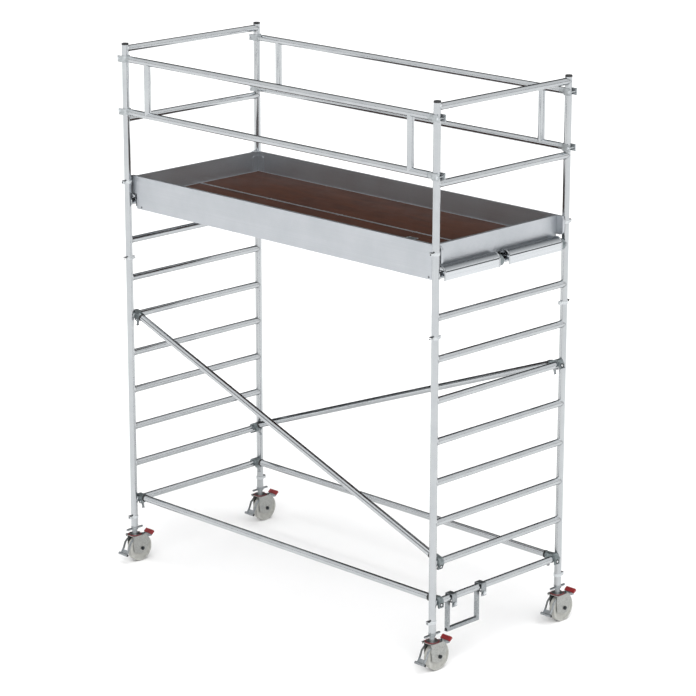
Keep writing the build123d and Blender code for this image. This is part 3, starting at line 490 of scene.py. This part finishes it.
class TOWER_OT_finishes(bpy.types.Operator):
    """Gives every part of the frame its own finish"""

    bl_idname = "tower.finishes"
    bl_label = "Finishes"

    def execute(self, context):
        welded = end_frame_aluminium()
        along_x = extruded_aluminium("aluminium_6060_extruded", "x")
        hook = hook_aluminium()
        board = rolled_sheet()
        plywood = film_plywood()
        cast = cast_aluminium("cast_aluminium_shot_blasted", "#959C9E", "#666E70")
        pale_cast = cast_aluminium("cast_aluminium_guardrail_claw", "#BCC0C2", "#A2A7A9")
        zinc = galvanised("steel_zinc_plated", "#9DA1A3", "#84888B")
        fork = galvanised("steel_pressed_bright_zinc", "#ABACA9", "#979895")
        blackened = galvanised("steel_axle_black_zinc", "#4A4D50", "#36393B")
        black = moulded_plastic("polyamide_black_moulded", "#1B1C1D", "#121314", 0.45)
        clip = moulded_plastic("polyamide_grey_clip_moulded", "#B9BDBF", "#AAAEB0", 0.42)
        wheel = moulded_plastic("polyamide_grey_wheel_moulded", "#A6A6A1", "#969691", 0.4)
        red = moulded_plastic("polypropylene_red_moulded", "#84171B", "#701316", 0.4)
        finish = {
            "satin_aluminium": along_x,
            "toe_board_sheet": board,
            "film_plywood": plywood,
            "cast_alloy": cast,
            "zinc_steel": zinc,
            "fork_steel": fork,
            "black_plastic": black,
            "clip_polymer": clip,
            "wheel_polymer": wheel,
            "red_plastic": red,
        }
        for node, shape in frame["nodes"].items():
            first = shape.material_slots[0].material.name.split(".")[0] if shape.material_slots else ""
            if "_frame_left" in node or "_frame_right" in node:
                paint(node, welded)
            elif node == "platform_hooks":
                paint(node, hook)
            elif node.startswith("platform_frame") or node == "toe_board_brackets":
                paint(node, board)
            elif node == "guardrail_claws":
                paint(node, pale_cast)
            elif node.startswith("castor_axle"):
                paint(node, blackened)
            elif first in finish:
                paint(node, finish[first])
            else:
                raise RuntimeError(f"{node} has no finish for {first!r}")
        return {"FINISHED"}


class TOWER_OT_welds(bpy.types.Operator):
    """Lays a weld bead round every rung and rail where it meets a post"""

    bl_idname = "tower.welds"
    bl_label = "Weld beads"

    def execute(self, context):
        """The bead is a small circle carried round the line where a level tube of radius r meets a post of
        radius R: offset r cos a, depth sqrt(R R - r r cos a cos a), height r sin a. Its radius ripples."""
        sizes = context.scene.tower_sizes
        material, tree, place = blank("weld_aluminium_tig_ripple")
        tint = noise(tree, place, 60.0, 3.0)
        base = mixed(tree, tint, colour("#B3B6B8"), colour("#8F9294"))
        rough = spread(tree, tint, 0.3, 0.7, 0.3, 0.45)
        close(tree, material, Base_Color=base, Metallic=1.0, Roughness=rough)
        rungs = sizes.lower_rungs + sizes.upper_rungs
        heights = [FRAME_BOTTOM + sizes.first_rung + step * sizes.rung_pitch for step in range(rungs)]
        bars = [(height, sizes.rung_radius) for height in heights]
        bars += [(UPPER_TOP + sizes.guard_rail_low, TUBE_R), (UPPER_TOP + sizes.guard_rail_high, TUBE_R)]
        steps = 40
        turn = np.arange(steps) * FULL_TURN / steps
        round_bead = ring(1.0, 6)
        grids = []
        for height, radius in bars:
            offset = radius * np.cos(turn)
            depth = np.sqrt(np.maximum(TUBE_R ** 2 - offset ** 2, 0.0))
            radial = np.stack([np.cos(turn), np.zeros(steps), np.sin(turn)], -1)
            ripple = sizes.weld_radius * (1.0 + 0.16 * np.cos(turn * steps / 2))
            for side in (-1, 1):
                path = np.stack([offset, side * (POST_Y - depth), height + radius * np.sin(turn)], -1)
                across = np.broadcast_to(np.array((0.0, 1.0, 0.0)), radial.shape)
                section = round_bead[None] * ripple[:, None, None]
                bead = carried(path, radial, across, section)
                grids += [bead + np.array((x, 0, 0)) for x in (-POST_X, POST_X)]
        make_piece("weld_beads", [(np.stack(grids), True)], material, "tower")
        return {"FINISHED"}


class TOWER_OT_clip_caps(bpy.types.Operator):
    """Sets a black cap and a pin head on the lug of every locking clip"""

    bl_idname = "tower.clip_caps"
    bl_label = "Clip caps"

    def execute(self, context):
        """A cap is a rounded rectangle stacked up to a chamfered top; the pin's head is an ellipse turned."""
        sizes = context.scene.tower_sizes
        black = moulded_plastic("polyamide_black_cap_moulded", "#17181A", "#0E0F10", 0.4)
        cap_height, cap_edge, cap_sunk, cap_gap = 3.2 * MM, 2.2 * MM, 0.4 * MM, 3 * MM
        cap = stacked(rounded_loop(sizes.cap_width, sizes.cap_depth, 4 * MM),
                      [(0, 0), (1, 0), (1, cap_edge), (0.9, cap_height), (0, cap_height)])
        head = dome(6 * MM, 2.4 * MM)
        caps, heads = [], []
        for joint_z in (FRAME_BOTTOM, LOWER_TOP, UPPER_TOP):
            middle = joint_z + sizes.clip_rise
            cap_z = middle + sizes.clip_half - cap_sunk
            for x in (-POST_X, POST_X):
                for side in (-1, 1):
                    caps.append((x, side * (POST_Y + TUBE_R + cap_gap + sizes.cap_depth / 2), cap_z))
                    heads.append((side, x, middle))
        shells = [(placed(cap, caps), False)]
        reach = POST_Y + TUBE_R + sizes.clip_lug - SUNK
        for side in (-1, 1):
            spots = [(x, side * reach, z) for which, x, z in heads if which == side]
            shells.append((placed(head, spots, (1, 0, 0), (0, side, 0)), False))
        make_piece("clip_caps", shells, black, "tower")
        return {"FINISHED"}


class TOWER_OT_claw_fittings(bpy.types.Operator):
    """Puts nuts on the guardrail claws' pins and rivet heads on the brace claws"""

    bl_idname = "tower.claw_fittings"
    bl_label = "Claw fittings"

    def execute(self, context):
        """A nut is a stepped profile turned in six steps, a rivet's head is an ellipse turned."""
        sizes = context.scene.tower_sizes
        zinc = galvanised("steel_nut_zinc_plated", "#D6D9DB", "#BEC2C5")
        shells = []
        nut_height = 6 * MM
        reach = sizes.rail_pin_reach - nut_height / 2
        for part in hexagon_head(sizes.rail_nut, nut_height):
            for side in (-1, 1):
                for way in (-1, 1):
                    spots = [(x, side * POST_Y + way * reach, UPPER_TOP + height)
                             for x in (-POST_X - sizes.rail_pin_offset, POST_X + sizes.rail_pin_offset)
                             for height in (sizes.double_rail_low, sizes.double_rail_high)]
                    shells.append((placed(part, spots, (1, 0, 0), (0, way, 0)), False))
        rivet = dome(6 * MM, 2.2 * MM)
        for side, name in ((-1, "front"), (1, "rear")):
            spots = []
            for brace in ("base", "diagonal"):
                for end in ("left", "right"):
                    pivot = joint_named(f"brace_latch_{brace}_{name}_{end}_pull")["pos_m"]
                    spots.append((pivot[0], side * (sizes.claw_face - SUNK), pivot[2]))
            shells.append((placed(rivet, spots, (1, 0, 0), (0, side, 0)), False))
        make_piece("claw_nuts_and_rivets", shells, zinc, "tower")
        return {"FINISHED"}


class TOWER_OT_brace_collars(bpy.types.Operator):
    """Slips a black collar on each end of every brace and puts a button on each of its claws"""

    bl_idname = "tower.brace_collars"
    bl_label = "Brace collars"

    def execute(self, context):
        """A collar is a closed profile of (radius, distance along the tube) turned round the brace's axis.
        A button is an ellipse turned, in a turned ring. Both look along the brace, out of the claw."""
        sizes = context.scene.tower_sizes
        black = moulded_plastic("polyamide_black_collar_moulded", "#1C1D1E", "#101112", 0.42)
        bore, edge, skin = (sizes.rung_radius + step for step in (0.1 * MM, 2.4 * MM, 3.2 * MM))
        end, chamfer = sizes.collar_length, 1.5 * MM
        profile = [(bore, 0), (edge, 0), (skin, chamfer), (skin, end - chamfer), (edge, end), (bore, end)]
        collar = lathe(profile, 40)
        foot, face = -0.5 * MM, 2.4 * MM
        washer = lathe([(9 * MM, foot), (16 * MM, foot), (15 * MM, face), (10 * MM, face)], 32)
        button = dome(8.6 * MM, 4 * MM)
        zinc = galvanised("steel_button_zinc_plated", "#DADDDF", "#C6C9CC")
        buttons = []
        base = FRAME_BOTTOM + sizes.first_rung
        # A diagonal brace runs from the second rung to the sixth.
        low, high = base + sizes.rung_pitch, base + 5 * sizes.rung_pitch
        shells = []
        for y, lefts in ((-sizes.brace_y, (base, high)), (sizes.brace_y, (base, low))):
            for left, right in zip(lefts, (base, low if y < 0 else high)):
                along = Vector((2 * POST_X, 0, right - left)).normalized()
                square = Vector((-along.z, 0, along.x))
                for x, z, way in ((-POST_X, left, 1), (POST_X, right, -1)):
                    spot = Vector((x, y, z)) + square * sizes.brace_rise + along * way * sizes.claw_reach
                    shells.append((placed(collar, [spot], (0, 1, 0), along * way), True))
                    spot = Vector((x, y, z)) - along * way * sizes.claw_back - square * sizes.claw_button_drop
                    shells.append((placed(washer, [spot], (0, 1, 0), -along * way), True))
                    buttons.append((placed(button, [spot], (0, 1, 0), -along * way), False))
        make_piece("brace_collars", shells, black, "tower")
        make_piece("claw_buttons", buttons, zinc, "tower")
        return {"FINISHED"}


class TOWER_OT_fixings(bpy.types.Operator):
    """Bolts of the step bracket and the platforms, screws of the trapdoor's hinges and latch"""

    bl_idname = "tower.fixings"
    bl_label = "Bolts and screws"

    def execute(self, context):
        """A hexagon bolt is a stepped profile turned in six steps, a round head is an ellipse turned."""
        zinc = galvanised("steel_screw_zinc_plated", "#D6D9DB", "#BEC2C5")
        dark = galvanised("steel_bolt_zinc_dulled", "#6C7073", "#54585B")
        bracket_low, bracket_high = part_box("step_bracket")
        rung = FRAME_BOTTOM + context.scene.tower_sizes.first_rung
        # Each strap stands beside a stirrup tube and carries its bolt in the middle, below the rung.
        stirrup_tube, half_strap, bolt_drop, bolt_sunk = 25 * MM, 23 * MM, 42 * MM, 0.3 * MM
        along = [bracket_low.y + stirrup_tube + half_strap, bracket_high.y - half_strap]
        shells = []
        for part in hexagon_head(17 * MM, 9 * MM):
            for x, way in ((bracket_high.x - bolt_sunk, 1), (bracket_low.x + bolt_sunk, -1)):
                spots = [(x, y, rung - bolt_drop) for y in along]
                shells.append((placed(part, spots, (0, 1, 0), (way, 0, 0)), False))
        make_piece("step_bracket_bolts", shells, zinc, "tower")

        beam_low, beam_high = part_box("platform_frame_front")
        face, bolt_z = -beam_low.y - SUNK, beam_low.z + 16 * MM
        bolt_x = (beam_low.x + 50 * MM, beam_high.x - 26 * MM)
        shells = []
        for way in (-1, 1):
            spots = [(x, way * face, bolt_z) for x in bolt_x]
            shells.append((placed(dome(8 * MM, 2 * MM), spots, (1, 0, 0), (0, way, 0)), False))
        make_piece("platform_bolts", shells, dark, "tower")

        leaf_low, leaf_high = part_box("trapdoor")
        screw = dome(4 * MM, 0.9 * MM)
        hinge_inset, hinge_leaf, hinge_plate, screw_step = 117 * MM, 30 * MM, 2.4 * MM, 9 * MM
        spots = [(x + step, leaf_low.y + hinge_leaf, DECK_TOP + hinge_plate)
                 for x in (leaf_low.x + hinge_inset, leaf_high.x - hinge_inset)
                 for step in (-screw_step, screw_step)]
        make_piece("hinge_screws", [(placed(screw, spots), False)], zinc, "trapdoor_leaf")

        low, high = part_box("trapdoor_latch")
        half_plate, screw_x, screw_y, screw_sunk = 21 * MM, 35 * MM, 13 * MM, 0.1 * MM
        spots = [((low.x + high.x) / 2 + x, high.y - half_plate + y, high.z - screw_sunk)
                 for x in (-screw_x, screw_x) for y in (-screw_y, screw_y)]
        screws = placed(dome(5 * MM, 1.2 * MM), spots)
        make_piece("latch_screws", [(screws, False)], zinc, "trapdoor_turn_latch")
        return {"FINISHED"}


class TOWER_OT_deck_trim(bpy.types.Operator):
    """Runs the bright edge strips round the two plywood decks"""

    bl_idname = "tower.deck_trim"
    bl_label = "Deck edge strips"

    def execute(self, context):
        """Each strip is a rounded rectangle carried along a straight line."""
        strip = extruded_aluminium("aluminium_edge_strip_extruded", "x", (0.36, 0.44))
        sizes = context.scene.tower_sizes
        width, thickness, corner = sizes.strip_width, sizes.strip_thickness, 0.5 * MM
        low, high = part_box("deck_panel_front")
        rear_low, rear_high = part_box("deck_panel_rear")
        z = DECK_TOP + thickness / 2 - SUNK
        up = (0, 0, 1)
        grids = []
        for y in (low.y + width / 2, high.y - width / 2, rear_low.y + width / 2, rear_high.y - width / 2):
            grids.append(bar((low.x, y, z), (high.x, y, z), up, width, thickness, corner))
        for x in (low.x + width / 2, high.x - width / 2):
            for first, last in ((low.y + width, high.y - width), (rear_low.y + width, rear_high.y - width)):
                grids.append(bar((x, first, z), (x, last, z), up, width, thickness, corner))
        make_piece("deck_edge_strips", [(np.stack(grids), False)], strip, "tower")
        return {"FINISHED"}


class TOWER_OT_hook_bands(bpy.types.Operator):
    """Puts an end band and a stiffening rib on every platform hook"""

    bl_idname = "tower.hook_bands"
    bl_label = "Hook bands"

    def execute(self, context):
        """A band is a flat section carried up the skirt and round the crown: radius times the cosine and sine
        of an angle. A rib is a small rounded section carried straight along the crown."""
        sizes = context.scene.tower_sizes
        bright = extruded_aluminium("aluminium_hook_band_extruded", "y")
        low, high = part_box("platform_hooks")
        radius = sizes.hook_radius
        centre_z = high.z - radius
        crown_turn, slope = math.radians(132), math.radians(24)
        angle = np.linspace(0, crown_turn, 20)
        across = np.concatenate([[1.0], np.cos(angle)])
        rise = np.concatenate([[low.z - centre_z], radius * np.sin(angle)])
        normal_z = np.concatenate([[0.0], np.sin(angle)])
        section = rounded_loop(sizes.band_thickness, sizes.band_width, 1 * MM, 3)
        band_y, rib_span = [], []
        for start, end in ((low.y, low.y + sizes.hook_length), (high.y - sizes.hook_length, high.y)):
            band_y += [start + sizes.band_width / 2, end - sizes.band_width / 2]
            rib_span.append((start + sizes.band_width, end - sizes.band_width))
        bands, ribs = [], []
        for end in (-1, 1):
            for y in band_y:
                x = end * (POST_X + radius * across)
                path = np.stack([x, np.full(len(rise), y), centre_z + rise], -1)
                outward = np.stack([end * across, np.zeros(len(rise)), normal_z], -1)
                sideways = np.broadcast_to(np.array((0.0, 1.0, 0.0)), outward.shape)
                bands.append(capped(carried(path, outward, sideways, section)))
            out = (end * math.cos(slope), 0, math.sin(slope))
            for first, last in rib_span:
                x, z = end * (POST_X + radius * math.cos(slope)), centre_z + radius * math.sin(slope)
                ribs.append(bar((x, first, z), (x, last, z), out, 4 * MM, 3 * MM, 1.2 * MM))
        shells = [(np.stack(bands), False), (np.stack(ribs), False)]
        make_piece("hook_bands_and_ribs", shells, bright, "tower")
        return {"FINISHED"}


class TOWER_OT_castor_details(bpy.types.Operator):
    """Dust rings on the forks, rings on the wheels, ribs on the levers and plugs in the pedal bars"""

    bl_idname = "tower.castor_details"
    bl_label = "Castor details"

    def execute(self, context):
        """A ring is a closed profile of (radius, height) turned once round the swivel or the axle, a rib is a
        rounded section carried straight across the lever, a plug is a profile turned on the pedal's axis."""
        sizes = context.scene.tower_sizes
        seal = moulded_plastic("rubber_dust_ring_dark_red", "#7A2A30", "#64232A", 0.5)
        pale = moulded_plastic("polyamide_hub_cap_moulded", "#A8A9A5", "#989995", 0.42)
        red = moulded_plastic("polypropylene_red_grip_moulded", "#8B171B", "#761316", 0.36)
        black = moulded_plastic("rubber_pedal_plug_moulded", "#161616", "#0C0C0C", 0.5)
        for corner in CORNERS:
            swivel = joint_named(f"castor_swivel_{corner}")["pos_m"]
            axle = joint_named(f"wheel_spin_{corner}")["pos_m"]
            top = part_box(f"castor_fork_{corner}")[1].z
            inner, outer, lip = (sizes.seal_radius + step for step in (-3 * MM, 1 * MM, 2 * MM))
            foot = -4.2 * MM
            profile = [(inner, foot), (outer, foot), (lip, -2 * MM), (outer, 0.4 * MM), (inner, 0.6 * MM)]
            ring_grid = placed(lathe(profile, 64), [(swivel[0], swivel[1], top)])
            make_piece(f"dust_ring_{corner}", [(ring_grid, True)], seal, f"castor_{corner}")

            rim = [(82 * MM, -1 * MM), (87 * MM, -1 * MM), (86.4 * MM, 0.8 * MM), (82.6 * MM, 0.8 * MM)]
            hub = [(24 * MM, -1 * MM), (34 * MM, -1 * MM), (33 * MM, 1.6 * MM), (25 * MM, 2.2 * MM)]
            shells = []
            for way in (-1, 1):
                for shape, count in ((rim, 72), (hub, 48)):
                    face = (axle[0] + way * sizes.wheel_half, axle[1], axle[2])
                    shells.append((placed(lathe(shape, count), [face], (0, 1, 0), (way, 0, 0)), True))
            make_piece(f"wheel_rings_{corner}", shells, pale, f"wheel_{corner}")

            low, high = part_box(f"brake_lever_{corner}")
            centre = np.array((low + high) / 2)
            tilt = math.radians(sizes.lever_tilt)
            out = np.array((0, -math.sin(tilt), math.cos(tilt)))
            down = np.array((0, math.cos(tilt), math.sin(tilt)))
            rib_end, rib_spread = 5 * MM, 11 * MM
            half_rib = np.array(((high.x - low.x) / 2 - rib_end, 0, 0))
            ribs = []
            for step in np.linspace(-rib_spread, rib_spread, 5):
                spot = centre + out * sizes.lever_top + down * step
                ribs.append(bar(spot - half_rib, spot + half_rib, out, 2.6 * MM, 2.4 * MM, 1.1 * MM))
            shells = [(np.stack(ribs), False)]
            make_piece(f"lever_ribs_{corner}", shells, red, f"brake_{corner}")

            low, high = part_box(f"brake_pedal_{corner}")
            bar_r = sizes.pedal_bar_radius
            rim_r, face_r = bar_r * 0.86, bar_r * 0.8
            plug = lathe([(0, -0.5 * MM), (rim_r, -0.5 * MM), (face_r, 1.4 * MM), (0, 0.6 * MM)], 24)
            shells = []
            for x, way in ((low.x, -1), (high.x, 1)):
                spot = (x, low.y + bar_r, low.z + bar_r)
                shells.append((placed(plug, [spot], (0, 1, 0), (way, 0, 0)), False))
            make_piece(f"pedal_plugs_{corner}", shells, black, f"brake_{corner}")
        return {"FINISHED"}


class TOWER_OT_stage(bpy.types.Operator):
    """Sets up the pale floor, the soft light and the camera"""

    bl_idname = "tower.stage"
    bl_label = "Stage"

    def execute(self, context):
        """The sky depends on one angle, a direction's height seen from the side: nought at the horizon on the
        lit side, a quarter turn overhead and half a turn at the horizon behind."""
        scene = context.scene
        scene.view_settings.view_transform = "Standard"
        reach = 150.0
        edge = np.array([(-reach, -reach, 0), (reach, -reach, 0), (reach, reach, 0), (-reach, reach, 0)])
        mesh = bpy.data.meshes.new("studio_floor")
        mesh.from_pydata(edge.tolist(), [], [(0, 1, 2, 3)])
        floor = bpy.data.objects.new("studio_floor", mesh)
        scene.collection.objects.link(floor)
        material, tree, place = blank("floor_matt_white_paint")
        patch = noise(tree, place, 2.0)
        base = mixed(tree, patch, colour("#F4F4F4"), colour("#F1F1F1"))
        mesh.materials.append(close(tree, material, Base_Color=base, Roughness=0.9))

        world = bpy.data.worlds.new("studio")
        scene.world = world
        world.use_nodes = True
        tree = world.node_tree
        tree.nodes.clear()
        way = add(tree, "TexCoord").outputs["Generated"]
        apart = add(tree, "SeparateXYZ", {0: way}).outputs
        toward = add(tree, "Math", {0: apart[0], 1: apart[1]}, operation="SUBTRACT").outputs[0]
        level = add(tree, "Math", {0: toward, 1: math.sqrt(0.5)}, operation="MULTIPLY").outputs[0]
        angle = add(tree, "Math", {0: apart[2], 1: level}, operation="ARCTAN2").outputs[0]
        # White walls on the near side; a grey wall behind gives round tubes their dark edge lines.
        wall_from, wall_to = 2.15, 2.45
        behind = spread(tree, angle, wall_from, wall_to, 0.0, 1.0)
        # The gap between the wall and the ceiling panel is a thin grey line on every level tube.
        gap_angle, gap_core, gap_edge = 0.95, 0.1, 0.2
        gap = add(tree, "Math", {0: angle, 1: gap_angle}, operation="SUBTRACT").outputs[0]
        gap = add(tree, "Math", {0: gap}, operation="ABSOLUTE").outputs[0]
        sky = mixed(tree, behind, colour("#FFFFFF"), colour("#2C2E30"))
        sky = mixed(tree, spread(tree, gap, gap_core, gap_edge, 1.0, 0.0), sky, colour("#3A3C3E"))
        light = add(tree, "Background", {"Color": sky, "Strength": 1.18})
        add(tree, "OutputWorld", {"Surface": light.outputs[0]})

        sun = bpy.data.lights.new("soft_key", "SUN")
        sun.energy = 2.7
        sun.angle = math.radians(60.0)
        key = bpy.data.objects.new("soft_key", sun)
        key.rotation_euler = (math.radians(28.0), math.radians(18.0), math.radians(20.0))
        scene.collection.objects.link(key)

        camera = bpy.data.cameras.new("camera")
        camera.sensor_width = 36.0
        camera.lens = scene.tower_sizes.camera_lens
        camera.shift_x = 0.0081
        camera.shift_y = -0.0179
        camera.clip_end = 400.0
        eye = bpy.data.objects.new("camera", camera)
        forward = Vector((-0.67925306, 0.68250566, -0.26981717))
        upward = Vector((-0.1909014, 0.1906792, 0.96291126))
        right = forward.cross(upward).normalized()
        turn = Matrix((right, right.cross(forward), -forward)).transposed()
        eye.matrix_world = Matrix.Translation((13.5672, -13.6098, 7.287)) @ turn.to_4x4()
        scene.collection.objects.link(eye)
        scene.camera = eye
        return {"FINISHED"}


class TOWER_PT_panel(bpy.types.Panel):
    """Lists the tower's operators"""

    bl_label = "Rolling Frame Tower"
    bl_idname = "TOWER_PT_panel"
    bl_space_type = "VIEW_3D"
    bl_region_type = "UI"
    bl_category = "Tower"

    def draw(self, context):
        for operator in OPERATORS:
            self.layout.operator(operator.bl_idname)
        for group in (context.scene.tower_sizes, context.scene.tower_colours):
            for name in group.__annotations__:
                self.layout.prop(group, name)


OPERATORS = (
    TOWER_OT_finishes,
    TOWER_OT_welds,
    TOWER_OT_clip_caps,
    TOWER_OT_claw_fittings,
    TOWER_OT_brace_collars,
    TOWER_OT_fixings,
    TOWER_OT_deck_trim,
    TOWER_OT_hook_bands,
    TOWER_OT_castor_details,
    TOWER_OT_stage,
)
GROUPS = (TowerSizes, TowerColours)


def register():
    for kind in (*GROUPS, *OPERATORS, TOWER_PT_panel):
        bpy.utils.register_class(kind)
    bpy.types.Scene.tower_sizes = PointerProperty(type=TowerSizes)
    bpy.types.Scene.tower_colours = PointerProperty(type=TowerColours)


def unregister():
    del bpy.types.Scene.tower_colours
    del bpy.types.Scene.tower_sizes
    for kind in reversed((*GROUPS, *OPERATORS, TOWER_PT_panel)):
        bpy.utils.unregister_class(kind)


def main():
    register()
    for operator in OPERATORS:
        group, name = operator.bl_idname.split(".")
        getattr(getattr(bpy.ops, group), name)()


if __name__ == "__main__":
    main()
